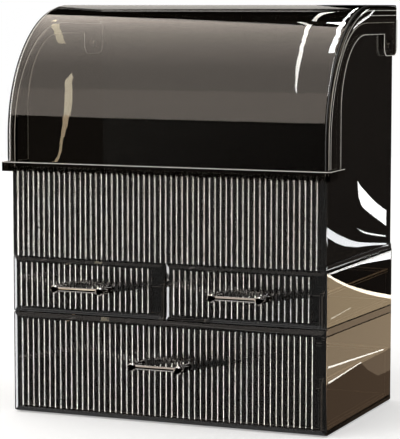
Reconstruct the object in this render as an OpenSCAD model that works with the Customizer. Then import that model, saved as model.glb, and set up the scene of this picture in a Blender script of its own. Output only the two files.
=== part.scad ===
// Dustproof makeup organizer: a cabinet with three reeded drawers, a display box with
// quarter-round side walls on top of it, and a clear hood that swings up and back.
// X runs across the front, the drawers open towards -Y and +Z is up. The origin lies on the
// table, midway across the organizer and midway between its handles and the rear of its lid.

/* [Cabinet] */
// Width of the cabinet and of its drawer fronts
body_w = 285; // [250:1:340]
// Depth from the face of the reeds to the back panel
body_d = 178; // [150:1:210]
// Height of the drawer cabinet
cabinet_h = 136; // [126:1:170]
// Height at which the drawer shelf divides the cabinet
shelf_level = 87.3; // [80:0.1:90]
// Thickness of the cabinet's side panels
side_t = 3; // [2:0.1:4]
// Thickness of the base plate
base_t = 3; // [2:0.1:5]
// Thickness of the cabinet's top plate
cabinet_top_t = 3; // [2:0.1:5]
// Thickness of the shelf between the two rows of drawers
shelf_t = 3; // [2:0.1:5]
// Thickness of the partition between the small drawers
partition_t = 3; // [2:0.1:6]
// Thickness of both back panels
back_t = 2.5; // [1.5:0.1:4]
// Depth of the groove that holds an edge of the shelf or the partition
groove_d = 1; // [0.5:0.1:1.4]

/* [Feet] */
// Diameter of an anti-slip foot
foot_d = 14; // [8:0.5:20]
// Thickness of an anti-slip foot
foot_t = 1.8; // [1.2:0.1:3]
// Depth of the recess that the foot is stuck in
foot_recess = 0.8; // [0.4:0.1:1]
// Distance of the feet from the sides and from the back
foot_inset = 20; // [14:1:40]

/* [Drawer fronts] */
// Thickness of a drawer front behind its reeds
front_t = 4; // [3.4:0.1:6]
// Gap between neighbouring drawer fronts
front_gap = 0.8; // [0.5:0.1:2]
// Width of the bevel round a drawer front
bevel_w = 3.6; // [2:0.1:5]
// Depth of the bevel round a drawer front
bevel_d = 1.8; // [1:0.1:2.4]
// Plain border between the bevel and the reeds, at the sides
reed_border_x = 3.6; // [3.2:0.1:10]
// Plain border between the bevel and the reeds, above and below
reed_border_z = 1.6; // [1:0.1:6]
// Spacing of the reeds on the drawer fronts
drawer_reed_pitch = 5.19; // [4.8:0.01:7]
// How far the reeds of a small drawer stand left of its middle
small_reed_shift = 2.1; // [0:0.1:3]

/* [Reeds] */
// Width of one reed where it leaves the sheet
reed_w = 4.2; // [3.4:0.1:4.5]
// Height of a reed above the sheet
reed_proud = 1.2; // [0.6:0.1:1.6]

/* [Drawer trays] */
// Wall thickness of the trays
tray_t = 2; // [1.5:0.1:3]
// Clearance between a tray and the panels beside it
tray_side_gap = 1; // [0.5:0.1:2]
// Running gap under a tray
tray_run_gap = 0.3; // [0.2:0.05:0.5]
// Clearance between a closed tray and the back panel
tray_back_gap = 3; // [1:0.5:8]
// Height of the large tray
large_tray_h = 44; // [30:1:70]
// Height of the two small trays
small_tray_h = 30; // [20:1:38]
// Width of the out-turned rim round a tray
tray_rim = 0.6; // [0.3:0.1:0.9]
// Height of the out-turned rim
tray_rim_h = 2.4; // [1:0.1:5]
// Height of the two runners under a tray
runner_h = 0.8; // [0.4:0.1:2]
// Width of a runner
runner_w = 4; // [2:0.5:8]

/* [Drawer handles] */
// Distance between the two posts of a handle
handle_spacing = 42; // [30:1:60]
// Diameter of a handle post
post_d = 7; // [6:0.1:10]
// Diameter of the bar between the posts
bar_d = 4.4; // [3:0.1:5]
// Reach of a handle in front of the drawer front
handle_reach = 21; // [15:0.5:30]
// Edge bevel on the end of a post
post_bevel = 0.8; // [0.3:0.1:1.2]
// Height of the large drawer's handle above its middle
large_handle_rise = 6; // [0:0.5:15]
// Diameter of a handle screw
screw_d = 3; // [2.5:0.1:3.5]
// Diameter of a handle screw's head
screw_head_d = 6; // [5:0.1:7]
// Height of a handle screw's head
screw_head_h = 1.8; // [1:0.1:2.5]
// Length of screw inside the post
screw_bite = 8; // [5:0.5:12]

/* [Display box] */
// How far the ends of the display box stand in from the cabinet's sides
display_step = 0.5; // [0:0.1:2]
// How far the side walls stand back from the ends of the front
wall_inset = 0.8; // [0.4:0.1:2]
// Height of the side walls and the back panel, from the cabinet's top
wall_h = 199; // [180:1:240]
// Radius of the quarter round at the front of the side walls
wall_arch_r = 97; // [60:1:110]
// Thickness of the side walls
wall_t = 2.6; // [2:0.1:4]
// Thickness of the display floor
display_floor_t = 4; // [3:0.1:6]
// Height of the reeded front above the cabinet's top
apron_h = 77; // [50:1:90]
// Thickness of the reeded front behind its reeds
apron_t = 3.4; // [2.5:0.1:5]
// Plain border beside the reeds of the display front
apron_border = 4.2; // [2:0.1:12]
// Spacing of the reeds on the display front
apron_reed_pitch = 4.93; // [4.6:0.01:7]
// Diameter of the pegs that locate the display box on the cabinet
peg_d = 6; // [4:0.5:8]
// Distance of the pegs from the sides, the front and the back
peg_inset = 24; // [16:1:40]

/* [Lid] */
// Thickness of the clear lid
lid_t = 1.8; // [1.4:0.1:2.2]
// Gap between the lid's cheeks and the ends of the display front
lid_side_gap = 0.6; // [0.4:0.1:1.5]
// Gap between the lid and the reeds of the display front
lid_front_gap = 2; // [1:0.1:4]
// Gap between the lid and the top of the side walls
lid_top_gap = 13.2; // [8:0.1:20]
// Gap between the lid's rear skirt and the back panel
lid_rear_gap = 1.6; // [1:0.1:4]
// How far the lid reaches down over the display front
lid_overlap = 4; // [2:0.5:10]
// Outer radius of the lid's quarter round
lid_arch_r = 112; // [80:1:125]
// Outer radius of the rounded edge between the hood and a cheek
lid_edge_r = 3; // [2.4:0.1:6]
// Height of the lid's rear skirt
skirt_h = 12.5; // [10:0.5:14]
// Width of the cheeks behind the front edge
cheek_w = 34; // [20:1:60]
// Width of the cheeks under the top
cheek_top_w = 25; // [18:0.5:32]
// Inner radius where the cheek turns from the front to the top
cheek_inner_r = 63; // [30:1:64]
// Width of the hinge lobe at the rear of a cheek
lobe_w = 36; // [26:0.5:50]
// How far the hinge lobe hangs below the hinge axis
lobe_drop = 9; // [7:0.5:14]
// Corner radius of the hinge lobe
lobe_r = 8; // [4:0.5:8.5]
// How far the finger lip stands out from the lid
lip_out = 3.4; // [2.5:0.1:5]
// Height of the finger lip
lip_h = 8; // [5:0.5:12]
// Wall thickness of the finger lip
lip_t = 1.4; // [1:0.1:1.6]

/* [Hinge] */
// Distance of the hinge axis in front of the back panel's rear face
hinge_from_back = 18.5; // [17:0.5:19]
// Distance of the hinge axis below the top of the side walls
hinge_from_top = 19.9; // [18:0.1:20.5]
// Diameter of a hinge pin
pin_d = 5; // [4:0.1:6]
// Diameter of a hinge pin's head
pin_head_d = 8.5; // [7:0.1:10]
// Thickness of a hinge pin's head
pin_head_t = 1.4; // [1:0.1:2]
// Radial clearance of the pin in the lid
pin_clear = 0.08; // [0.05:0.01:0.1]
// Diameter of the boss round the pin on the side wall
boss_d = 13; // [11:0.5:15]
// Gap between the lid's cheek and what it turns beside
cheek_run_gap = 0.3; // [0.2:0.05:0.4]

/* [Hidden] */

// Small overlap that lets a cut run clear through a face
cut = 1;
// Depth by which a reed is rooted in its sheet
reed_root = 0.4;
// Radial clearance of a fixed peg, screw or pin in its hole
fit_clear = 0.05;
// Clearance between a drawer front and the cabinet's front edges
front_seat_gap = 0.3;
round_fn = 48;
arc_fn = 128;

// Heights
floor_z = foot_t - foot_recess;
base_top_z = floor_z + base_t;
shelf_top_z = floor_z + shelf_level;
shelf_z = shelf_top_z - shelf_t;
cabinet_top_z = floor_z + cabinet_h;
under_top_z = cabinet_top_z - cabinet_top_t;
display_floor_z = cabinet_top_z + display_floor_t;
wall_top_z = cabinet_top_z + wall_h;
apron_top_z = cabinet_top_z + apron_h;
lid_bottom_z = apron_top_z - lid_overlap;
lid_top_z = wall_top_z + lid_top_gap + lid_t;
hinge_z = wall_top_z - hinge_from_top;

// Depths, from the ends of the handles at -Y to the lid's rear lip at +Y
rear_overhang = lid_rear_gap + lid_t + lip_out;
post_tip_y = -(handle_reach + body_d + rear_overhang) / 2;
face_y = post_tip_y + handle_reach;
back_y = face_y + body_d;
body_mid_y = (face_y + back_y) / 2;
sheet_y = face_y + reed_proud;
front_back_y = sheet_y + front_t;
cabinet_front_y = front_back_y + front_seat_gap;
back_front_y = back_y - back_t;
apron_back_y = sheet_y + apron_t;
lid_front_y = face_y - lid_front_gap - lid_t;
lid_rear_y = back_y + lid_rear_gap + lid_t;
arch_y = lid_front_y + lid_arch_r;
arch_z = lid_top_z - lid_arch_r;
hinge_y = back_y - hinge_from_back;

// Widths
display_w = body_w - 2 * display_step;
side_inner_x = body_w / 2 - side_t;
wall_outer_x = display_w / 2 - wall_inset;
wall_inner_x = wall_outer_x - wall_t;
lid_inner_x = display_w / 2 + lid_side_gap;
lid_outer_x = lid_inner_x + lid_t;

// Drawer fronts
small_front_w = (body_w - front_gap) / 2;
small_drawer_x = (small_front_w + front_gap) / 2;
large_front_z = floor_z + front_gap;
large_front_h = shelf_top_z - front_gap / 2 - large_front_z;
small_front_z = shelf_top_z + front_gap / 2;
small_front_h = cabinet_top_z - front_gap / 2 - small_front_z;

// Drawer trays
large_tray_w = 2 * (side_inner_x - tray_side_gap - tray_rim);
small_bay_x0 = partition_t / 2;
small_tray_w = side_inner_x - small_bay_x0 - 2 * (tray_side_gap + tray_rim);
small_tray_x = (side_inner_x + small_bay_x0) / 2;
tray_d = back_front_y - tray_back_gap - front_back_y;
large_tray_z = base_top_z + tray_run_gap;
small_tray_z = shelf_top_z + tray_run_gap;

// Drawer handles
large_handle_z = large_front_z + large_front_h / 2 + large_handle_rise;
small_handle_z = small_front_z + small_front_h / 2;
bar_y = post_tip_y + post_d / 2;

// The circle whose cap has the width and height of one reed
reed_r = (reed_w * reed_w / 4 + reed_proud * reed_proud) / (2 * reed_proud);

function reed_count(field, pitch) = floor((field - reed_w) / pitch) + 1;

// Plate between two corners
module plate(x0, x1, y0, y1, z0, z1) {
    translate([x0, y0, z0]) cube([x1 - x0, y1 - y0, z1 - z0]);
}

// Turns a profile drawn in Y and Z and gives it a thickness along X
module along_x(x0, x1) {
    translate([x0, 0, 0]) rotate([90, 0, 90]) linear_extrude(height = x1 - x0) children();
}

module mirror_x(flip) {
    if (flip) mirror([1, 0, 0]) children();
    else children();
}

// Four places at one distance from the cabinet's sides, its face and its back
module at_four(inset) {
    for (sx = [-1, 1], sy = [-1, 1])
        translate([sx * (body_w / 2 - inset), body_mid_y + sy * (body_d / 2 - inset), 0])
            children();
}

// Row of half-round reeds that stand on the plane y = 0 and point to -Y
module reeds(field, pitch, height) {
    n = reed_count(field, pitch);
    linear_extrude(height = height)
        for (i = [0 : n - 1])
            translate([(i - (n - 1) / 2) * pitch, 0])
                intersection() {
                    translate([0, reed_r - reed_proud]) circle(r = reed_r, $fn = round_fn);
                    translate([-reed_w / 2, -reed_proud - cut])
                        square([reed_w, reed_proud + cut + reed_root]);
                }
}

// ---- Cabinet ----

module base_plate() {
    color("dimgray")
        difference() {
            plate(-body_w / 2, body_w / 2, cabinet_front_y, back_y, floor_z, base_top_z);
            at_four(foot_inset)
                translate([0, 0, floor_z - cut])
                    cylinder(d = foot_d + 2 * fit_clear, h = foot_recess + cut, $fn = round_fn);
        }
}

module anti_slip_feet() {
    color("silver") at_four(foot_inset) cylinder(d = foot_d, h = foot_t, $fn = round_fn);
}

// A side panel stands on the base plate and has a groove for the shelf
module cabinet_side(flip) {
    color("gray") mirror_x(flip)
        difference() {
            plate(side_inner_x, body_w / 2, cabinet_front_y, back_y, base_top_z, cabinet_top_z);
            plate(side_inner_x - cut, side_inner_x + groove_d, cabinet_front_y - cut,
                back_front_y, shelf_z, shelf_top_z);
        }
}

module cabinet_left_side() { cabinet_side(true); }
module cabinet_right_side() { cabinet_side(false); }

module cabinet_back() {
    color("black")
        plate(-side_inner_x, side_inner_x, back_front_y, back_y, base_top_z, under_top_z);
}

// The top plate lies between the sides, over the back panel, and takes the locating pegs
module cabinet_top() {
    color("dimgray")
        difference() {
            plate(-side_inner_x, side_inner_x, cabinet_front_y, back_y, under_top_z,
                cabinet_top_z);
            at_four(peg_inset) peg_hole(under_top_z, cabinet_top_z);
            plate(-partition_t / 2, partition_t / 2, cabinet_front_y - cut, back_front_y,
                under_top_z - cut, under_top_z + groove_d);
        }
}

module drawer_shelf() {
    reach = side_inner_x + groove_d;
    color("dimgray")
        difference() {
            plate(-reach, reach, cabinet_front_y, back_front_y, shelf_z, shelf_top_z);
            plate(-partition_t / 2, partition_t / 2, cabinet_front_y - cut, back_y,
                shelf_top_z - groove_d, shelf_top_z + cut);
        }
}

module drawer_partition() {
    color("dimgray")
        plate(-partition_t / 2, partition_t / 2, cabinet_front_y, back_front_y,
            shelf_top_z - groove_d, under_top_z + groove_d);
}

// ---- Display box ----

module peg_hole(z0, z1) {
    translate([0, 0, z0 - cut])
        cylinder(d = peg_d + 2 * fit_clear, h = z1 - z0 + 2 * cut, $fn = round_fn);
}

module locating_pegs() {
    color("black") at_four(peg_inset)
        translate([0, 0, under_top_z])
            cylinder(d = peg_d, h = display_floor_z - under_top_z, $fn = round_fn);
}

module display_floor() {
    color("dimgray")
        difference() {
            plate(-display_w / 2, display_w / 2, apron_back_y, back_y, cabinet_top_z,
                display_floor_z);
            at_four(peg_inset) peg_hole(cabinet_top_z, display_floor_z);
        }
}

// Outline of a side wall, in Y and Z: upright at the front, a quarter round, level at the top
module wall_outline() {
    round_y = apron_back_y + wall_arch_r;
    round_z = wall_top_z - wall_arch_r;
    union() {
        translate([apron_back_y, display_floor_z])
            square([back_y - apron_back_y, round_z - display_floor_z]);
        translate([round_y, display_floor_z])
            square([back_y - round_y, wall_top_z - display_floor_z]);
        intersection() {
            translate([round_y, round_z]) circle(r = wall_arch_r, $fn = arc_fn);
            translate([apron_back_y, round_z]) square(wall_arch_r);
        }
    }
}

// A side wall with its hinge boss, drilled for the pin
module display_wall(flip) {
    color("gray") mirror_x(flip)
        difference() {
            union() {
                along_x(wall_inner_x, wall_outer_x) wall_outline();
                along_x(wall_outer_x - wall_t / 2, lid_inner_x - cheek_run_gap)
                    translate([hinge_y, hinge_z]) circle(d = boss_d, $fn = round_fn);
            }
            along_x(wall_inner_x - cut, lid_inner_x + cut)
                translate([hinge_y, hinge_z]) circle(d = pin_d + 2 * fit_clear, $fn = round_fn);
        }
}

module display_left_wall() { display_wall(true); }
module display_right_wall() { display_wall(false); }

module display_back() {
    color("black")
        plate(-wall_inner_x, wall_inner_x, back_front_y, back_y, display_floor_z, wall_top_z);
}

// The reeded front closes the box below the lid and hides the front edge of its floor
module display_front() {
    color("gray")
        union() {
            plate(-display_w / 2, display_w / 2, sheet_y, apron_back_y, cabinet_top_z,
                apron_top_z);
            translate([0, sheet_y, cabinet_top_z])
                reeds(display_w - 2 * apron_border, apron_reed_pitch, apron_h);
        }
}

// ---- Lid ----

// Outline of the lid from the side, drawn inside its outer face by the inset
module hood_outline(inset, low_z) {
    r = lid_arch_r - inset;
    rear_y = lid_rear_y - inset;
    rear_r = lid_edge_r - inset;
    union() {
        translate([arch_y - r, low_z]) square([r, arch_z - low_z]);
        translate([arch_y, low_z]) square([rear_y - arch_y, arch_z + r - rear_r - low_z]);
        translate([arch_y, low_z]) square([rear_y - rear_r - arch_y, arch_z + r - low_z]);
        if (rear_r > 0)
            translate([rear_y - rear_r, arch_z + r - rear_r]) circle(r = rear_r, $fn = round_fn);
        intersection() {
            translate([arch_y, arch_z]) circle(r = r, $fn = arc_fn);
            translate([arch_y - r, arch_z]) square(r);
        }
    }
}

// Round bead that follows the lid's outline and makes the edge of a cheek round
module edge_bead(r, low_z) {
    front_y = lid_front_y + lid_edge_r;
    rear_y = lid_rear_y - lid_edge_r;
    top_z = lid_top_z - lid_edge_r;
    union() {
        translate([0, front_y, low_z]) cylinder(r = r, h = arch_z - low_z, $fn = round_fn);
        translate([0, arch_y, arch_z]) rotate([90, 0, -90])
            rotate_extrude(angle = 90, $fn = arc_fn)
                translate([arch_y - front_y, 0]) circle(r = r, $fn = round_fn);
        translate([0, arch_y, top_z]) rotate([-90, 0, 0])
            cylinder(r = r, h = rear_y - arch_y, $fn = round_fn);
        translate([0, rear_y, top_z]) sphere(r = r, $fn = round_fn);
        translate([0, rear_y, low_z]) cylinder(r = r, h = top_z - low_z, $fn = round_fn);
    }
}

// Solid with the lid's rounded outer form, drawn inside its outer face by the inset
module hood_form(inset) {
    bead_r = lid_edge_r - inset;
    bead_x = lid_outer_x - lid_edge_r;
    low_z = lid_bottom_z - (inset > 0 ? cut : 0);
    union() {
        along_x(-bead_x, bead_x) hood_outline(inset, low_z);
        along_x(-bead_x - bead_r, bead_x + bead_r) hood_outline(lid_edge_r, low_z);
        for (s = [-1, 1]) translate([s * bead_x, 0, 0]) edge_bead(bead_r, low_z);
    }
}

// The arched window that is cut out of a cheek, in front of its hinge lobe
module cheek_window() {
    front_y = lid_front_y + cheek_w;
    top_z = lid_top_z - cheek_top_w;
    lobe_y = lid_rear_y - lobe_w;
    union() {
        translate([front_y, lid_bottom_z - cut])
            square([lobe_y - front_y, top_z - cheek_inner_r - lid_bottom_z + cut]);
        translate([front_y + cheek_inner_r, lid_bottom_z - cut])
            square([lobe_y - front_y - cheek_inner_r, top_z - lid_bottom_z + cut]);
        intersection() {
            translate([front_y + cheek_inner_r, top_z - cheek_inner_r])
                circle(r = cheek_inner_r, $fn = arc_fn);
            translate([front_y, top_z - cheek_inner_r]) square(cheek_inner_r);
        }
    }
}

// What is taken away below the hinge lobe, leaving the lobe's two lower corners round
module under_lobe() {
    low_z = hinge_z - lobe_drop;
    lobe_y = lid_rear_y - lobe_w;
    difference() {
        translate([lobe_y - cut, lid_bottom_z - cut])
            square([lobe_w + 2 * cut, low_z + lobe_r - lid_bottom_z + cut]);
        for (y = [lobe_y + lobe_r, lid_rear_y - lobe_r])
            translate([y, low_z + lobe_r]) circle(r = lobe_r, $fn = round_fn);
        translate([lobe_y + lobe_r, low_z]) square([lobe_w - 2 * lobe_r, lobe_r + cut]);
    }
}

// Out-turned finger lip: a flange with a skirt that hangs from its edge
module lip_channel(y0, y1, z0) {
    reach_x = lid_outer_x + lip_out;
    difference() {
        plate(-reach_x, reach_x, y0, y1, z0, z0 + lip_h);
        plate(-reach_x + lip_t, reach_x - lip_t, y0 + lip_t, y1 - lip_t, z0 - cut,
            z0 + lip_h - lip_t);
        plate(-lid_inner_x, lid_inner_x, y0 + lip_out + lid_t, y1 + cut, z0 - cut,
            z0 + lip_h + cut);
    }
}

module front_lip() {
    lip_channel(lid_front_y - lip_out, lid_front_y + cheek_w, lid_bottom_z);
}

module rear_lip() {
    skirt_z = lid_top_z - skirt_h;
    half = lid_outer_x - lid_edge_r;
    y0 = lid_rear_y - lid_t / 2;
    y1 = lid_rear_y + lip_out;
    difference() {
        plate(-half, half, y0, y1, skirt_z, skirt_z + lip_h);
        plate(-half + lip_t, half - lip_t, lid_rear_y, y1 - lip_t, skirt_z - cut,
            skirt_z + lip_h - lip_t);
    }
}

// Hood, cheeks, skirt and lips are one clear moulding
module lid() {
    color("whitesmoke", 0.5)
        difference() {
            union() {
                difference() {
                    hood_form(0);
                    hood_form(lid_t);
                    along_x(-lid_outer_x - cut, lid_outer_x + cut) cheek_window();
                    along_x(-lid_outer_x - cut, lid_outer_x + cut) under_lobe();
                    plate(-lid_inner_x, lid_inner_x, lid_rear_y - lid_t - cut, lid_rear_y + cut,
                        lid_bottom_z - cut, lid_top_z - skirt_h);
                }
                front_lip();
                rear_lip();
            }
            along_x(-lid_outer_x - cut, lid_outer_x + cut)
                translate([hinge_y, hinge_z]) circle(d = pin_d + 2 * pin_clear, $fn = round_fn);
        }
}

// A headed pin, pressed into the side wall through the lid's cheek
module hinge_pin(flip) {
    head_x = lid_outer_x + cheek_run_gap;
    color("silver") mirror_x(flip)
        union() {
            along_x(wall_inner_x, head_x + pin_head_t / 2)
                translate([hinge_y, hinge_z]) circle(d = pin_d, $fn = round_fn);
            along_x(head_x, head_x + pin_head_t)
                translate([hinge_y, hinge_z]) circle(d = pin_head_d, $fn = round_fn);
        }
}

module left_hinge_pin() { hinge_pin(true); }
module right_hinge_pin() { hinge_pin(false); }

// ---- Drawers ----

module at_posts() {
    for (s = [-1, 1]) translate([s * handle_spacing / 2, 0, 0]) children();
}

// Round hole or shaft that runs along +Y from y0
module shaft_y(d, y0, length, z) {
    translate([0, y0 + length, z]) rotate([90, 0, 0]) cylinder(d = d, h = length, $fn = round_fn);
}

// Drawer front with a bevelled edge, a reeded field and two screw holes
module drawer_front(w, h, z0, handle_z, reed_shift) {
    inner_w = w - 2 * bevel_w;
    inner_h = h - 2 * bevel_w;
    color("gray")
        difference() {
            union() {
                hull() {
                    plate(-w / 2, w / 2, sheet_y + bevel_d, front_back_y, z0, z0 + h);
                    plate(-inner_w / 2, inner_w / 2, sheet_y, front_back_y, z0 + bevel_w,
                        z0 + bevel_w + inner_h);
                }
                translate([-reed_shift, sheet_y, z0 + bevel_w + reed_border_z])
                    reeds(inner_w - 2 * reed_border_x, drawer_reed_pitch,
                        inner_h - 2 * reed_border_z);
            }
            at_posts()
                shaft_y(screw_d + 2 * fit_clear, face_y - cut, front_back_y - face_y + 2 * cut,
                    handle_z);
            at_posts()
                shaft_y(post_d + 2 * fit_clear, face_y - cut, cut + reed_proud, handle_z);
        }
}

// Tray on two runners, with a rim round its walls; the drawer front closes its open end
module tray(w, h, x, z0) {
    y1 = front_back_y + tray_d;
    low_z = z0 + runner_h;
    top_z = z0 + h;
    color("darkgray")
        translate([x, 0, 0])
            difference() {
                union() {
                    plate(-w / 2, w / 2, front_back_y, y1, low_z, top_z);
                    plate(-w / 2 - tray_rim, w / 2 + tray_rim, front_back_y, y1 + tray_rim,
                        top_z - tray_rim_h, top_z);
                    for (s = [-1, 1])
                        translate([s * (w - 3 * runner_w) / 2, 0, 0])
                            plate(-runner_w / 2, runner_w / 2, front_back_y, y1, z0,
                                low_z + tray_t / 2);
                }
                plate(-w / 2 + tray_t, w / 2 - tray_t, front_back_y - cut, y1 - tray_t,
                    low_z + tray_t, top_z + cut);
            }
}

// Bar handle: two round posts with bevelled ends and a thinner bar between them
module handle(z) {
    length = sheet_y - post_tip_y;
    color("black")
        difference() {
            union() {
                at_posts()
                    translate([0, sheet_y, z]) rotate([90, 0, 0])
                        rotate_extrude($fn = round_fn)
                            polygon([[0, 0], [post_d / 2, 0], [post_d / 2, length - post_bevel],
                                [post_d / 2 - post_bevel, length], [0, length]]);
                translate([-handle_spacing / 2, bar_y, z]) rotate([0, 90, 0])
                    cylinder(d = bar_d, h = handle_spacing, $fn = round_fn);
            }
            at_posts() shaft_y(screw_d + 2 * fit_clear, sheet_y - screw_bite, screw_bite + cut, z);
        }
}

// Two screws whose heads bear on the inside of the drawer front
module handle_screws(z) {
    tip_y = sheet_y - screw_bite + cut;
    color("silver")
        at_posts() union() {
            shaft_y(screw_d, tip_y, front_back_y + screw_head_h / 2 - tip_y, z);
            shaft_y(screw_head_d, front_back_y, screw_head_h, z);
        }
}

module large_drawer_front() {
    drawer_front(body_w, large_front_h, large_front_z, large_handle_z, 0);
}
module large_drawer_tray() { tray(large_tray_w, large_tray_h, 0, large_tray_z); }
module large_drawer_handle() { handle(large_handle_z); }
module large_handle_screws() { handle_screws(large_handle_z); }

// The pieces of a small drawer; side is -1 for the left one and 1 for the right one
module at_small_front(side) { translate([side * small_drawer_x, 0, 0]) children(); }
module small_drawer_front(side) {
    at_small_front(side)
        drawer_front(small_front_w, small_front_h, small_front_z, small_handle_z,
            small_reed_shift);
}
module small_drawer_tray(side) {
    tray(small_tray_w, small_tray_h, side * small_tray_x, small_tray_z);
}
module small_drawer_handle(side) { at_small_front(side) handle(small_handle_z); }
module small_handle_screws(side) { at_small_front(side) handle_screws(small_handle_z); }

module left_drawer_front() { small_drawer_front(-1); }
module left_drawer_tray() { small_drawer_tray(-1); }
module left_drawer_handle() { small_drawer_handle(-1); }
module left_handle_screws() { small_handle_screws(-1); }
module right_drawer_front() { small_drawer_front(1); }
module right_drawer_tray() { small_drawer_tray(1); }
module right_drawer_handle() { small_drawer_handle(1); }
module right_handle_screws() { small_handle_screws(1); }

base_plate();
cabinet_left_side();
cabinet_right_side();
cabinet_back();
cabinet_top();
drawer_shelf();
drawer_partition();
anti_slip_feet();
display_floor();
locating_pegs();
display_left_wall();
display_right_wall();
display_back();
display_front();
lid();
left_hinge_pin();
right_hinge_pin();
large_drawer_front();
large_drawer_tray();
large_drawer_handle();
large_handle_screws();
left_drawer_front();
left_drawer_tray();
left_drawer_handle();
left_handle_screws();
right_drawer_front();
right_drawer_tray();
right_drawer_handle();
right_handle_screws();
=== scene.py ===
import math
import bmesh
import bpy
from mathutils import Matrix, Vector


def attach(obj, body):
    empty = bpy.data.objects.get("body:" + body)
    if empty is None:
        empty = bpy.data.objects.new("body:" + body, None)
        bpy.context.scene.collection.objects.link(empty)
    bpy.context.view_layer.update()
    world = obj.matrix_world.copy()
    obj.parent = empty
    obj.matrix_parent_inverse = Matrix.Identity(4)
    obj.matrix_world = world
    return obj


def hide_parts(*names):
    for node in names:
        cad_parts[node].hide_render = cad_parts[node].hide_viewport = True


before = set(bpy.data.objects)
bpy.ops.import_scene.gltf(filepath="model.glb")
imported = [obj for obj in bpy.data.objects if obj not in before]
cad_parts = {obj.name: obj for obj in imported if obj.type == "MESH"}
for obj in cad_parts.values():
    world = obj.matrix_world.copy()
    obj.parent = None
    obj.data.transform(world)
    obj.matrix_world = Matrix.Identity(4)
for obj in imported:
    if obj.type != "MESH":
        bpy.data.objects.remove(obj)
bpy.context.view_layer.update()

# ---- Cabinet shell ----
# The cabinet is glued up from flat sheets of polystyrene with flame-polished edges: brown smoked
# sides and shelf, a black base and a black back. Each sheet has a small break along its edges,
# which catches the light as a thin line.


def linear(text):
    """An sRGB hex colour as a linear one."""
    parts = [int(text[i:i + 2], 16) / 255 for i in (0, 2, 4)]
    return tuple(c / 12.92 if c <= 0.04045 else ((c + 0.055) / 1.055) ** 2.4
                 for c in parts) + (1.0,)


def add(tree, kind, inputs=None, **settings):
    """Adds one node; an input is a value or another node's output."""
    made = tree.nodes.new(kind)
    for key, value in settings.items():
        setattr(made, key, value)
    for key, value in (inputs or {}).items():
        if isinstance(value, bpy.types.NodeSocket):
            tree.links.new(value, made.inputs[key])
        else:
            made.inputs[key].default_value = value
    return made


def smoked(name, lets_through, over_mm, tint=1.0, polish=0.0, clear=1.0, ior=1.59):
    """Clear tinted plastic: lets_through is the share of red, green and blue left after
    over_mm of plastic, of which tint comes from its two surfaces. polish is the weight of a
    bright skin, and clear the share of the light that goes in."""
    wipe_mm = 7.14
    haze_most = 0.002
    made = bpy.data.materials.new(name)
    made.use_nodes = True
    tree = made.node_tree
    tree.nodes.clear()
    place = add(tree, "ShaderNodeTexCoord").outputs["Object"]
    wipe = add(tree, "ShaderNodeTexNoise", {"Vector": place, "Scale": 1000 / wipe_mm,
               "Detail": 3.0})
    haze = add(tree, "ShaderNodeMapRange", {"Value": wipe.outputs["Fac"], "From Min": 0.45,
               "From Max": 0.75, "To Min": 0.0, "To Max": haze_most})
    shader = add(tree, "ShaderNodeBsdfPrincipled", {"Base Color": (tint, tint, tint, 1),
                 "IOR": ior, "Transmission Weight": clear, "Roughness": haze.outputs["Result"],
                 "Coat Weight": polish, "Coat IOR": 1.9, "Coat Roughness": 0.0})
    takes = [-math.log(t / tint) / (over_mm / 1000) for t in lets_through]
    most = max(takes) * 1.02
    body = add(tree, "ShaderNodeVolumeAbsorption", {"Density": most,
               "Color": tuple(1 - t / most for t in takes) + (1.0,)})
    # Lamps shine through the sheet, so what stands inside is lit.
    ray = add(tree, "ShaderNodeLightPath")
    lamp_ray = add(tree, "ShaderNodeMath", {0: ray.outputs["Is Shadow Ray"],
                   1: ray.outputs["Is Diffuse Ray"]}, operation="MAXIMUM")
    through = add(tree, "ShaderNodeBsdfTransparent", {"Color": (tint ** 0.5,) * 3 + (1.0,)})
    both = add(tree, "ShaderNodeMixShader", {"Fac": lamp_ray.outputs[0],
               1: shader.outputs["BSDF"], 2: through.outputs["BSDF"]})
    add(tree, "ShaderNodeOutputMaterial", {"Surface": both.outputs["Shader"],
        "Volume": body.outputs["Volume"]})
    return made


def solid_plastic(name, colour, rough):
    """Opaque plastic whose tone and polish are a little uneven."""
    patch_mm = 8.33
    made = bpy.data.materials.new(name)
    made.use_nodes = True
    tree = made.node_tree
    tree.nodes.clear()
    place = add(tree, "ShaderNodeTexCoord").outputs["Object"]
    patch = add(tree, "ShaderNodeTexNoise", {"Vector": place, "Scale": 1000 / patch_mm,
                "Detail": 4.0})
    haze = add(tree, "ShaderNodeMapRange", {"Value": patch.outputs["Fac"], "From Min": 0.3,
               "From Max": 0.7, "To Min": rough, "To Max": rough * 1.15})
    tone = add(tree, "ShaderNodeMixRGB", {"Fac": patch.outputs["Fac"], "Color1": linear(colour),
               "Color2": tuple(c * 1.1 for c in linear(colour)[:3]) + (1.0,)})
    shader = add(tree, "ShaderNodeBsdfPrincipled", {"Base Color": tone.outputs["Color"],
                 "IOR": 1.5, "Roughness": haze.outputs["Result"]})
    add(tree, "ShaderNodeOutputMaterial", {"Surface": shader.outputs["BSDF"]})
    return made


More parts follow.
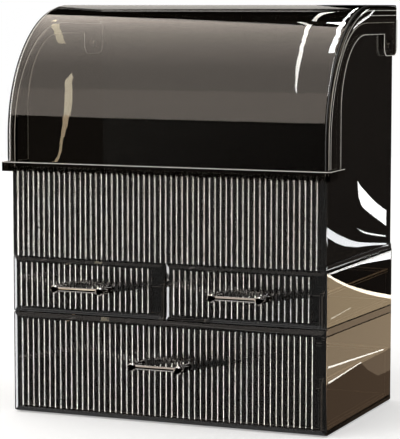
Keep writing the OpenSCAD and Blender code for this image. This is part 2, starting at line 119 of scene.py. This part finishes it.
def moulding(node, body, material, edge_mm=0.3, smooth=28, edge_highlight_paint=None,
             slope_shade_paint=None):
    """A CAD solid with its triangles merged, its sharp edges broken by edge_mm, and what turns
    less than smooth degrees shaded round. The edge material, where one is given, paints those
    broken edges as a painted highlight. The slope material, where one is given, is a darker copy
    that paints the faces that slope up or down as painted shade."""
    sharp_turn = math.radians(max(smooth, 40))
    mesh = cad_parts[node].data.copy()
    bm = bmesh.new()
    bm.from_mesh(mesh)
    bmesh.ops.remove_doubles(bm, verts=bm.verts, dist=0.000002)
    bmesh.ops.dissolve_limit(bm, angle_limit=math.radians(0.3), verts=bm.verts, edges=bm.edges)
    broken = set()
    if edge_mm:
        sharp = [e for e in bm.edges if e.calc_face_angle(0) > sharp_turn]
        made = bmesh.ops.bevel(bm, geom=sharp, offset=edge_mm / 1000, offset_type="OFFSET",
                               affect="EDGES", segments=2, profile=0.5, material=-1,
                               clamp_overlap=True)
        broken = set(made["faces"])
        for f in broken:
            f.material_index = 1
    for f in bm.faces:
        f.smooth = True
    for e in bm.edges:
        round_edge = any(f in broken for f in e.link_faces)
        e.smooth = e.calc_face_angle(0) < math.radians(50 if round_edge else smooth)
    if slope_shade_paint:
        for f in bm.faces:
            if 0.2 < abs(f.normal.z) < 0.8:
                f.material_index = 1
    mesh.materials.clear()
    mesh.materials.append(material)
    mesh.materials.append(edge_highlight_paint or slope_shade_paint or material)
    bm.to_mesh(mesh)
    bm.free()
    piece = bpy.data.objects.new(node + "_finished", mesh)
    bpy.context.collection.objects.link(piece)
    even = piece.modifiers.new("even_shading", "WEIGHTED_NORMAL")
    even.keep_sharp = True
    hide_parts(node)
    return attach(piece, body)


# Brown tinted sheet dims and warms what stands behind it.
brown_sheet = smoked("brown_smoked_polystyrene_sheet", (0.62, 0.53, 0.42), 3.0)
# Black sheet fresh from its film is glossy enough to mirror.
black_sheet = solid_plastic("black_polystyrene_sheet", "262220", 0.03)
# The satin face of the backs and the base mirrors nothing sharply.
satin_sheet = solid_plastic("black_polystyrene_back", "12100f", 0.22)
# Pale matt paint for painted highlight lines, standing in for the glow of a flame-polished edge,
# which scatters the light that runs along inside the sheet.
pale_highlight_paint = solid_plastic("painted_pale_highlight", "e6e2da", 0.25)
for node in ("cabinet_left_side", "cabinet_right_side", "cabinet_top", "drawer_shelf",
             "drawer_partition"):
    moulding(node, "organizer", brown_sheet)
for node in ("display_floor", "locating_pegs"):
    moulding(node, "organizer", black_sheet)
for node in ("base_plate", "cabinet_back", "display_back"):
    moulding(node, "organizer", satin_sheet)


def painted_line(name, body, path, radius, finish=None):
    """A thin tube along an edge, pale as a painted highlight that stands in for the glow of a
    clear sheet's edge, or a dark painted line with the finish given. path holds its points in mm."""
    line = bpy.data.curves.new(name, "CURVE")
    line.dimensions = "3D"
    line.bevel_depth = radius / 1000
    line.bevel_resolution = 1
    line.use_fill_caps = True
    run = line.splines.new("POLY")
    run.points.add(len(path) - 1)
    for point, (x, y, z) in zip(run.points, path):
        point.co = (x / 1000, y / 1000, z / 1000, 1)
    drawn = bpy.data.objects.new(name + "_line", line)
    bpy.context.collection.objects.link(drawn)
    mesh = bpy.data.meshes.new_from_object(drawn.evaluated_get(
        bpy.context.evaluated_depsgraph_get()))
    bpy.data.objects.remove(drawn)
    bpy.data.curves.remove(line)
    mesh.materials.clear()
    mesh.materials.append(finish or pale_highlight_paint)
    piece = bpy.data.objects.new(name, mesh)
    bpy.context.collection.objects.link(piece)
    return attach(piece, body)


# A painted highlight line along the top edge of each side, from the front to the back.
side_edge_x = 142.4
side_edge_z = 134
for side, sign in (("left", -1), ("right", 1)):
    painted_line(side + "_cabinet_top_painted_highlight", "organizer",
                [(sign * side_edge_x, -76, side_edge_z),
                 (sign * side_edge_x, 95.5, side_edge_z)], 0.4)

# ---- Feet ----
# Four discs of grey silicone rubber stick by their own adhesive in shallow recesses under the
# base, and keep the cabinet from sliding.

# Cast silicone is matt, so the feet look a dull grey.
silicone = solid_plastic("grey_silicone_rubber", "8a8987", 0.5)
moulding("anti_slip_feet", "organizer", silicone)

# ---- Display box ----
# Two lightly smoked side walls, rounded at the front like the hood over them, are glued to the
# ends of a moulded front, whose reeds are upright half-round ribs 4.2 mm wide.


def turn(x, y, z, r, a0, a1, steps=24):
    """Points on an arc round (y, z) in the plane at x; angle 0 faces the front, 90 up."""
    return [(x, y - r * math.cos(math.radians(a)), z + r * math.sin(math.radians(a)))
            for a in (a0 + (a1 - a0) * i / steps for i in range(steps + 1))]


def arch(x, y, z, r, foot_z, back_y):
    """Points up a straight front edge at x from foot_z, over a quarter circle round (y, z), and
    back along the top to back_y."""
    return [(x, y - r, foot_z)] + turn(x, y, z, r, 0, 90) + [(x, back_y, z + r)]


# Hardly tinted sheet shows mostly by what it mirrors; its glowing edge is a painted highlight line
# laid along it.
clear_wall = smoked("clear_polystyrene_wall", (0.86, 0.85, 0.83), 2.6)
wall_edge_x = 141.1
wall_arc_y = 19.7
wall_arc_z = 239
wall_arc_r = 96.9
for side, sign in (("left", -1), ("right", 1)):
    moulding("display_" + side + "_wall", "organizer", clear_wall)
    painted_line(side + "_wall_edge_painted_highlight", "organizer",
                arch(sign * wall_edge_x, wall_arc_y, wall_arc_z, wall_arc_r, 214, 96), 0.35)
# The moulding is tinted so deeply that each rib is a dark rod with one bright line.
dark_front = smoked("dark_smoked_polystyrene_moulding", (0.30, 0.275, 0.25), 4.2, tint=0.45,
                    polish=1.0, clear=0.965)
moulding("display_front", "organizer", dark_front, smooth=20)

# ---- Lid ----
# Hood, cheeks, skirt and finger lips are one injection moulding of lightly smoked polystyrene,
# 1.8 mm thick. It swings on the two pins through its rear lobes.

# The grey tint dims what stands inside, and the curve mirrors the room in long streaks.
lid_plastic = smoked("smoked_polystyrene_hood", (0.74, 0.725, 0.70), 1.8)
moulding("lid", "lid", lid_plastic, 0)
# Near-black tubes along the corners of the hood and the drawer fronts are painted dark lines, for
# the thick rounded corner that turns light away and reads almost black.
dark_line_paint = solid_plastic("painted_dark_line", "060505", 0.5)
# The middle of the hood's arc, the foot of its front and the end of its top.
hood_y = 26.3
hood_z = 239
hood_foot_z = 219
hood_back_y = 97


def hood_line(name, x, r, radius, finish=None):
    """A painted line along the hood's edge at x, r from the middle of its arc: a pale highlight,
    or dark with the dark finish.
    """
    path = arch(x, hood_y, hood_z, r, hood_foot_z, hood_back_y)
    painted_line(name, "lid", path, radius, finish=finish)


# Dark painted lines at the hood's thick corners, and pale painted highlights just inside them.
hood_line("left_hood_painted_dark_line", -144.1, 110.4, 0.7, dark_line_paint)
hood_line("left_hood_painted_highlight", -141.7, 111.8, 0.4)
hood_line("right_hood_painted_dark_line", 143.1, 111.1, 0.9, dark_line_paint)
hood_line("right_hood_painted_highlight", 144.3, 107.3, 0.27)
hood_line("right_hood_inner_painted_highlight", 144.3, 103.0, 0.27)

# A painted highlight follows the edge of each cheek up and over its arched window, then down and
# round its lobe.
cheek_x = 144.2
window_y = 11.3
window_z = 263
window_r = 63.1
lobe_front_y = 71.5
lobe_back_y = 91.5
lobe_z = 315.1
lobe_r = 7.9
for side, sign in (("left", -1), ("right", 1)):
    x = sign * cheek_x
    edge = arch(x, window_y, window_z, window_r, 218, lobe_front_y - 8)
    edge += turn(x, lobe_front_y, lobe_z, lobe_r, 0, -90, 6)
    edge += turn(x, lobe_back_y, lobe_z, lobe_r, -90, -180, 6)
    edge.append((x, lobe_back_y + lobe_r, 338))
    painted_line(side + "_cheek_painted_highlight", "lid", edge, 0.35)

# A painted highlight along the upper edge of the finger lip, from its right end round both front
# corners to its left end.
lip_x = 147.8
lip_corner_y = -86.1
lip_z = 217.8
lip_r = 3.0
right_half = [(lip_x, -51.7, lip_z)]
for degrees in range(0, 91, 15):
    a = math.radians(degrees)
    right_half.append((lip_x - lip_r + lip_r * math.cos(a), lip_corner_y - lip_r * math.sin(a),
                       lip_z))
left_half = [(-x, y, z) for x, y, z in reversed(right_half)]
painted_line("lip_upper_edge_painted_highlight", "lid", right_half + left_half, 0.3)

# ---- Hinge pins and screws ----
# Two headed pins of turned steel pass through the lobes into the display box's bosses, and two
# cross-head screws hold each handle.


def steel(name, colour, rough):
    """Turned steel, whose tool marks are too fine to show and are drawn as 1.1 mm patches."""
    mark_mm = 1.11
    made = bpy.data.materials.new(name)
    made.use_nodes = True
    tree = made.node_tree
    tree.nodes.clear()
    place = add(tree, "ShaderNodeTexCoord").outputs["Object"]
    turned = add(tree, "ShaderNodeTexNoise", {"Vector": place, "Scale": 1000 / mark_mm,
                 "Detail": 2.0})
    haze = add(tree, "ShaderNodeMapRange", {"Value": turned.outputs["Fac"], "To Min": rough,
               "To Max": rough * 1.6})
    shader = add(tree, "ShaderNodeBsdfPrincipled", {"Base Color": linear(colour),
                 "Metallic": 1.0, "Roughness": haze.outputs["Result"]})
    add(tree, "ShaderNodeOutputMaterial", {"Surface": shader.outputs["BSDF"]})
    return made


# Blackened steel is a dull dark grey, so the pins hardly show in the lobes.
blued_steel = steel("blackened_steel", "2b2927", 0.3)
for node in ("left_hinge_pin", "right_hinge_pin"):
    moulding(node, "organizer", blued_steel, 0.2)
# Bare steel from the lathe is a soft light grey.
bright_steel = steel("turned_steel", "b9b6b1", 0.25)

# ---- Drawers ----
# Each reeded front, with a bevelled frame round its ribs, is glued to the open end of a clear
# tray that runs on two runners. A bar handle is screwed on through the front.

# The frame's slopes get a copy of the front's plastic with a lower IOR, so they mirror less than
# the ribs and look darker: painted shade.
slope_shade_front = smoked("dark_smoked_polystyrene_shaded_slopes", (0.30, 0.275, 0.25), 4.2, tint=0.45,
                     clear=0.965, ior=1.33)
# The tray is clear, and what gives it away is the glow of its rim, drawn as a painted highlight on
# its broken edges and a pale line round its rim.
clear_tray = smoked("clear_polystyrene_tray", (0.80, 0.78, 0.75), 2.0)
# Black chrome over a polished bar is a hard mirror, about half as bright as plain chrome.
black_handle = steel("black_chrome_handle", "a29e9a", 0.04)
front_edge_y = -78.8
rim_front_y = -76
rim_back_y = 90.4
for drawer, corner_x, front_low, front_high, rim_left, rim_right, rim_z in (
        ("large", -142.3, 2.4, 87.3, -138.3, 138.3, 48.3),
        ("left", -142.3, 89.3, 136.0, -137.9, -3.1, 118.6),
        ("right", 142.3, 89.3, 136.0, 3.1, 137.9, 118.6)):
    body = drawer + "_drawer"
    moulding(body + "_front", body, dark_front, 0, 20,
             slope_shade_paint=slope_shade_front)
    # A dark painted line down the outer corner of the front.
    painted_line(drawer + "_front_corner_painted_dark_line", body, [(corner_x, front_edge_y, front_low),
                (corner_x, front_edge_y, front_high)], 0.6, dark_line_paint)
    # Painted highlights: pale paint on the tray's broken edges, and a pale line round its rim.
    moulding(body + "_tray", body, clear_tray, 0.4, edge_highlight_paint=pale_highlight_paint)
    painted_line(drawer + "_tray_rim_painted_highlight", body, [(rim_left, rim_front_y, rim_z),
                (rim_left, rim_back_y, rim_z), (rim_right, rim_back_y, rim_z),
                (rim_right, rim_front_y, rim_z)], 0.55)
    moulding(body + "_handle", body, black_handle, 0)
    moulding(drawer + "_handle_screws", body, bright_steel, 0)

# ---- Studio ----
# A pale floor under a white surround, a soft lamp overhead, and the black and white boards
# that stand round glossy plastic in a studio, out of the camera's sight.


def emitter(name, colour, strength):
    """Lit cloth or card of an even brightness, or black at strength 0."""
    made = bpy.data.materials.new(name)
    made.use_nodes = True
    tree = made.node_tree
    tree.nodes.clear()
    glow = add(tree, "ShaderNodeEmission", {"Color": linear(colour), "Strength": strength})
    add(tree, "ShaderNodeOutputMaterial", {"Surface": glow.outputs["Emission"]})
    return made


def staged(name, bm, material, refracted):
    """A mesh that reflections see, and refractions too where asked."""
    mesh = bpy.data.meshes.new(name)
    bm.to_mesh(mesh)
    bm.free()
    mesh.materials.append(material)
    made = bpy.data.objects.new(name, mesh)
    bpy.context.collection.objects.link(made)
    made.visible_camera = made.visible_diffuse = made.visible_shadow = False
    made.visible_transmission = refracted
    return made


def sheet(corners):
    """One flat face."""
    bm = bmesh.new()
    bm.faces.new([bm.verts.new(c) for c in corners])
    return bm


def board(name, corners, colour="000000", strength=0.0, refracted=True):
    """A flat board, black unless it glows."""
    return staged(name, sheet(corners), emitter(name, colour, strength), refracted)


def curtain(name, radius, a0, a1, low, high, colour="000000", strength=0.0, refracted=True):
    """Part of an upright cylinder round the organizer, from azimuth a0 to a1, where 0 is in
    front and 90 at the right. low and high are pairs of heights at a0 and a1."""
    bm = bmesh.new()
    rows = []
    steps = 24
    for i in range(steps + 1):
        a = math.radians(a0 + (a1 - a0) * i / steps)
        x, y = radius * math.sin(a), -radius * math.cos(a)
        rows.append([bm.verts.new((x, y, z[0] + (z[1] - z[0]) * i / steps)) for z in (low, high)])
    for p, q in zip(rows, rows[1:]):
        bm.faces.new((p[0], q[0], q[1], p[1]))
    return staged(name, bm, emitter(name, colour, strength), refracted)


# Where the camera stands. The cards are placed for the mirror images that it sees.
eye = Vector((0.6776, -1.62716, 0.34994))
hood_r = 112
hood_corner_r = 3
hood_corner_x = 141.4


def lid_card(name, rows, colour, strength, side=0, reach=0.9):
    """A card seen as a mirror image in the lid. Each row is (run, a, b): run is the way up the
    hood's outline from the foot of its arc, in mm, and the image spans from a to b there, in
    mm across the hood or, with side -1 or 1, in degrees round its left or right edge."""
    bm = bmesh.new()
    last = None
    for run, *ends in rows:
        turned = min(max(run / hood_r, 0), math.pi / 2)
        out = Vector((0, -math.cos(turned), math.sin(turned)))
        past_arc = max(run - hood_r * math.pi / 2, 0)
        spine = Vector((0, hood_y + past_arc, hood_z + min(run, 0)))
        spine += (hood_r - hood_corner_r) * out
        corners = []
        for end in ends:
            lean = math.radians(end) if side else 0
            across = side * hood_corner_x if side else end
            normal = math.cos(lean) * out + Vector((side * math.sin(lean), 0, 0))
            seen = (spine + hood_corner_r * normal + Vector((across, 0, 0))) / 1000
            bounced = (seen - eye).normalized().reflect(normal)
            corners.append(bm.verts.new(seen + reach * bounced))
        if last:
            bm.faces.new(last + corners[::-1])
        last = corners
    return staged(name, bm, emitter(name, colour, strength), False)


def side_card(name, outline, colour, strength, gap=0.24):
    """A card behind the organizer, seen as a mirror image in its right side: outline is
    where the image stands on that side, as (y, z) in mm."""
    side_x = 0.1425
    image = Vector((2 * side_x - eye.x, eye.y, eye.z))
    corners = []
    for y, z in outline:
        seen = Vector((side_x, y / 1000, z / 1000))
        corners.append(image + (seen - image) * (gap - image.y) / (seen.y - image.y))
    return board(name, corners, colour, strength, False)


floor_mesh = bpy.data.meshes.new("floor")
bm = bmesh.new()
bmesh.ops.create_circle(bm, cap_ends=True, segments=96, radius=3.0)
bm.to_mesh(floor_mesh)
bm.free()
floor = bpy.data.objects.new("floor", floor_mesh)
bpy.context.collection.objects.link(floor)
# A pale matt table top, lifted a little towards white for the camera alone, keeps its shadow.
table = solid_plastic("pale_table", "f2f1ef", 0.6)
floor_mesh.materials.append(table)
tree = table.node_tree
ray = add(tree, "ShaderNodeLightPath")
lift = add(tree, "ShaderNodeMath", {0: ray.outputs["Is Camera Ray"], 1: 0.33},
           operation="MULTIPLY")
top = tree.nodes["Principled BSDF"]
top.inputs["Emission Color"].default_value = linear("ffffff")
tree.links.new(lift.outputs[0], top.inputs["Emission Strength"])
floor.visible_glossy = False
floor.visible_transmission = False

# The surround is white to the eye and in every mirror, and lights the object at 0.75.
world = bpy.data.worlds.new("white_surround")
bpy.context.scene.world = world
world.use_nodes = True
tree = world.node_tree
tree.nodes.clear()
path = add(tree, "ShaderNodeLightPath")
seen = add(tree, "ShaderNodeMath", {0: path.outputs["Is Camera Ray"],
           1: path.outputs["Is Glossy Ray"]}, operation="ADD")
seen = add(tree, "ShaderNodeMath", {0: seen.outputs[0], 1: path.outputs["Is Transmission Ray"]},
           operation="ADD", use_clamp=True)
level = add(tree, "ShaderNodeMapRange", {"Value": seen.outputs[0], "To Min": 0.75,
            "To Max": 1.0})
sky = add(tree, "ShaderNodeBackground", {"Color": linear("ffffff"),
          "Strength": level.outputs["Result"]})
add(tree, "ShaderNodeOutputWorld", {"Surface": sky.outputs["Background"]})

# Black flags keep the white surround out of the plastic, and glows between them tint it grey.
curtain("front_flag", 1.6, -120, 130, (-1.5, -1.5), (0.52, 0.80))
curtain("right_flag", 1.59, -10, 130, (0.6, 0.6), (1.6, 1.6))
curtain("front_glow", 1.62, -120, 130, (0.50, 0.78), (1.6, 1.6), "fff2e6", 1.27)
curtain("rear_flag", 1.6, 112, 250, (1.14, 1.14), (3.2, 3.2))
curtain("rear_right_flag", 1.59, 112, 196, (0.3, 0.3), (1.15, 1.15))
curtain("rear_left_flag", 1.6, 212, 250, (0.3, 0.3), (1.15, 1.15))
curtain("rear_glow", 1.61, 112, 213, (0.3, 0.3), (1.15, 1.15), "fffaf2", 0.66, refracted=False)
board("low_rear_flag", ((-0.9, 0.25, -1.2), (0.9, 0.25, -1.2), (0.9, 0.25, 0.362),
      (-0.9, 0.25, 0.362)), "ffecd8", 0.011)
# A tall light at the front left draws the bright line on each rib.
curtain("reed_light", 1.5, -70, -50, (-0.5, -0.5), (0.30, 0.30), "fffbec", 9.8,
        refracted=False)
curtain("side_light", 1.5, -95, -72, (-0.5, -0.5), (0.06, 0.06), "f4f4f6", 4.0,
        refracted=False)
# The softbox overhead brightens towards the back, and its right edge is cut in a curve.
softbox = emitter("softbox_cloth", "fff3e8", 1.0)
tree = softbox.node_tree
place = add(tree, "ShaderNodeTexCoord").outputs["Object"]
depth = add(tree, "ShaderNodeSeparateXYZ", {"Vector": place}).outputs["Y"]
fade = add(tree, "ShaderNodeMapRange", {"Value": depth, "From Min": -0.6, "From Max": 0.7,
           "To Min": 1.0, "To Max": 2.3})
tree.links.new(fade.outputs["Result"], tree.nodes["Emission"].inputs["Strength"])
ceiling_z = 1.35
ceiling_edge = ((-0.36, -1.3), (-0.26, -0.73), (-0.17, -0.2), (-0.17, 0), (-0.234, 0.40),
                (-0.858, 0.998), (-1.8, 1.9), (-1.8, -1.3))
staged("ceiling", sheet([(x, y, ceiling_z) for x, y in ceiling_edge]), softbox, True)
flag_z = ceiling_z + 0.002
board("ceiling_flag", ((-0.5, -1.29, flag_z), (0.75, -1.29, flag_z), (0.75, 0.9, flag_z),
      (-0.5, 0.9, flag_z)))

# The two white streaks down the right of the hood.
lid_card("tall_streak", ((43, 114.8, 115.8), (53, 112.9, 114.9), (58, 112, 114.5),
         (64, 111, 114.1), (69, 110.3, 114), (75, 110.4, 114), (81, 110.2, 113.6),
         (91, 109.5, 113.3), (101, 109.2, 112.7), (114, 108.4, 112.3)), "fffdf6", 16.0)
lid_card("tall_streak_foot", ((114, 107, 112.3), (116, 103, 108.5), (119, 97, 103)), "fffdf6", 7.0)
lid_card("tall_streak_hook", ((120.6, 109.9, 114), (128, 110.1, 114.1), (133.8, 111, 116.2),
         (136.6, 112, 119), (138.8, 115.6, 124), (139.4, 124, 126), (140.1, 129.6, 130.6)),
         "fffaf2", 6.0)
lid_card("short_streak", ((80, 135.8, 141), (91, 136.1, 141.1), (101, 137, 140.7),
         (114.6, 136.2, 140.2), (117.5, 124, 140.2), (119, 123, 140.2)), "ffffff", 16.0)
# The cream streak and the ribbon below it at the left.
lid_card("cream_streak", ((88, -111.1, -104), (96, -116.4, -109.3), (104, -121.5, -114.1),
         (114.6, -127.8, -120.3)), "fff1d2", 4.6)
lid_card("cream_streak_cap", ((118.2, -130.8, -125.8), (121, -129, -125.4)), "fff1d2", 6.0)
lid_card("cream_ribbon", ((-19.7, -101.7, -98), (-18.4, -99, -96), (-14.1, -96.6, -94),
         (-5.6, -94.6, -92), (2.9, -92.6, -89.3), (11.3, -91.4, -86.6), (19.8, -91.2, -85.2)),
         "ffe2b8", 5.2)
lid_card("cream_ribbon_top", ((19.8, -91.2, -84.6), (25, -91.2, -84.2), (32.7, -91.4, -84),
         (41.5, -92.2, -85.1), (51.5, -94, -87.3), (54.3, -92.3, -88.1), (57.5, -89.5, -89.3)),
         "fff1d2", 7.2)
# Thin lights round the hood's corners and over its crown.
lid_card("left_edge_light", ((-26, 4, 20), (0, 4, 20), (30, 4, 20), (50, 5, 18),
         (75, 8, 14)), "ffffff", 8.0, -1)
lid_card("right_seam_light", ((40, 8, 14), (48, 4, 14), (60, 2, 14), (75, 1, 8), (84, 0.5, 3)),
         "ffffff", 12.0, 1)
lid_card("right_crown_light", ((118, 137, 139.4), (130, 137.8, 140), (140, 138.6, 140.7),
         (152, 139.4, 141)), "ffffff", 9.0)
lid_card("corner_glint", ((222, 38, 62), (246, 38, 62)), "ffffff", 4.0, 1)
# White sweeps and a wedge across the clear wall and the top of the cabinet's side.
sweep_top = ((-79, 135.1), (-61, 129.3), (-45.6, 124.8), (-25, 119.2), (-2.4, 113.9),
             (24, 108.2), (50, 103.1), (97, 94.4))
sweep_foot = ((-79, 132.7), (-61, 127.2), (-45.6, 122.5), (-25, 116.9), (-2.3, 111.2),
              (24, 105.2), (50, 99.8), (97, 90.9))
side_card("white_sweep_1", sweep_top + sweep_foot[::-1], "fff4e0", 6.0)
side_card("white_wedge", ((-74, 134.9), (94, 134.7), (94, 127.1), (47.8, 130.2), (6.3, 132.5),
          (-33.4, 133.1), (-74, 133.3)), "ffffff", 5.0)
side_card("white_sweep_2", ((5, 203.5), (15.4, 197.6), (32.1, 190.6), (56.5, 180.6),
          (75, 174.7), (87, 171), (87, 157.3), (69.6, 162.9), (52.3, 168.5), (32.5, 175.1),
          (16, 181.5), (8, 190)), "ffffff", 5.5)
side_card("white_thread", ((4, 163.5), (20, 159.4), (43.7, 155), (85, 149), (85, 147.7),
          (43.7, 153.5), (20, 158)), "ffffff", 5.0)
side_card("white_sweep_3", ((-80, 173.6), (-47, 163.5), (-15.7, 155.7), (3.1, 152),
          (38.8, 147.3), (88, 141.9), (88, 140.4), (47.4, 144.2), (3.2, 147.3),
          (-28.7, 151.8), (-51.9, 157), (-80, 166)), "f0f2f4", 4.6)
# Warm boards under the first sweep fill the brown cabinet side, brightest at its top.
side_card("warm_board_high", sweep_foot + ((97, 86.6), (-79, 90.3)), "e0c6a0", 1.68)
side_card("warm_board_gap", ((-79, 89.3), (97, 85.6), (97, 79.9), (-79, 83.6)), "dcc0a0", 1.1)
side_card("warm_board_middle", ((-79, 82.6), (97, 78.9), (97, 47), (12, 47), (-79, 43.5)),
          "dcc2a0", 1.48)
shade_foot = ((30, 38), (60, 28), (97, 27))
side_card("warm_board_shade", ((12, 47), (97, 47)) + shade_foot[::-1], "dec0a0", 0.8)
side_card("warm_board_low", ((-79, 43.5), (12, 47)) + shade_foot + ((94.5, 5.5), (-77, 5.5)),
          "ffd5af", 0.26)
# Threads of light hang a little in front of the boards, over the tray rim and the shelf.
thread_gap = 0.235
side_card("rim_thread_1", ((-76, 58.2), (75, 49.4), (75, 48.4), (-76, 56.6)), "fff8ec", 5.0,
          thread_gap)
side_card("rim_thread_2", ((-74, 45.2), (12, 48.1), (12, 47.3), (-74, 43.6)), "fff8ec", 5.0,
          thread_gap)
side_card("shelf_thread", ((-70, 97.2), (-18, 99.2), (-18, 98.4), (-70, 96.2)), "f4e6cc", 3.2,
          thread_gap)
# Two glints on the lid's cheek, and a dim board behind the display's clear wall.
side_card("cheek_glint_1", ((-25.7, 332.4), (-10.9, 337.2), (13.8, 342.4), (30.8, 347.4),
          (30.8, 346.2), (13.8, 340.4), (-10.9, 335.3), (-25.7, 330.8)), "ffffff", 5.0)
side_card("cheek_glint_2", ((-7.6, 343), (17.4, 349.8), (17.4, 348.6), (-7.6, 341.4)),
          "ffffff", 5.0)
side_card("dim_board", ((-79, 340), (97, 340), (97, 96), (50, 104.6), (24, 110), (-2.4, 116),
          (-45.6, 126.5), (-79, 137)), "6b625c", 0.16, 0.245)

# One soft lamp from above the front left gives the floor its shadow.
lamp_place = Vector((-0.7, -1.1, 2.0))
lamp_aim = Vector((0, 0, 0.15))
key = bpy.data.lights.new("overhead_softbox", "AREA")
key.shape = "DISK"
key.size = 1.4
key.energy = 9.0
lamp = bpy.data.objects.new("overhead_softbox", key)
lamp_turn = (lamp_place - lamp_aim).to_track_quat("Z", "Y").to_matrix().to_4x4()
lamp.matrix_world = Matrix.Translation(lamp_place) @ lamp_turn
bpy.context.collection.objects.link(lamp)
lamp.visible_glossy = False

# The camera looks a little down on the organizer from its right.
camera_turn = math.radians(22.6586)
camera_dip = math.radians(5.9693)
lens = bpy.data.cameras.new("camera")
lens.lens = 167.26
lens.sensor_width = 36.0
camera = bpy.data.objects.new("camera", lens)
level_turn = Matrix.Rotation(camera_turn, 4, "Z")
tilt = Matrix.Rotation(math.pi / 2 - camera_dip, 4, "X")
camera.matrix_world = Matrix.Translation(eye) @ level_turn @ tilt
bpy.context.collection.objects.link(camera)
bpy.context.scene.camera = camera
bpy.context.scene.view_settings.view_transform = "Standard"
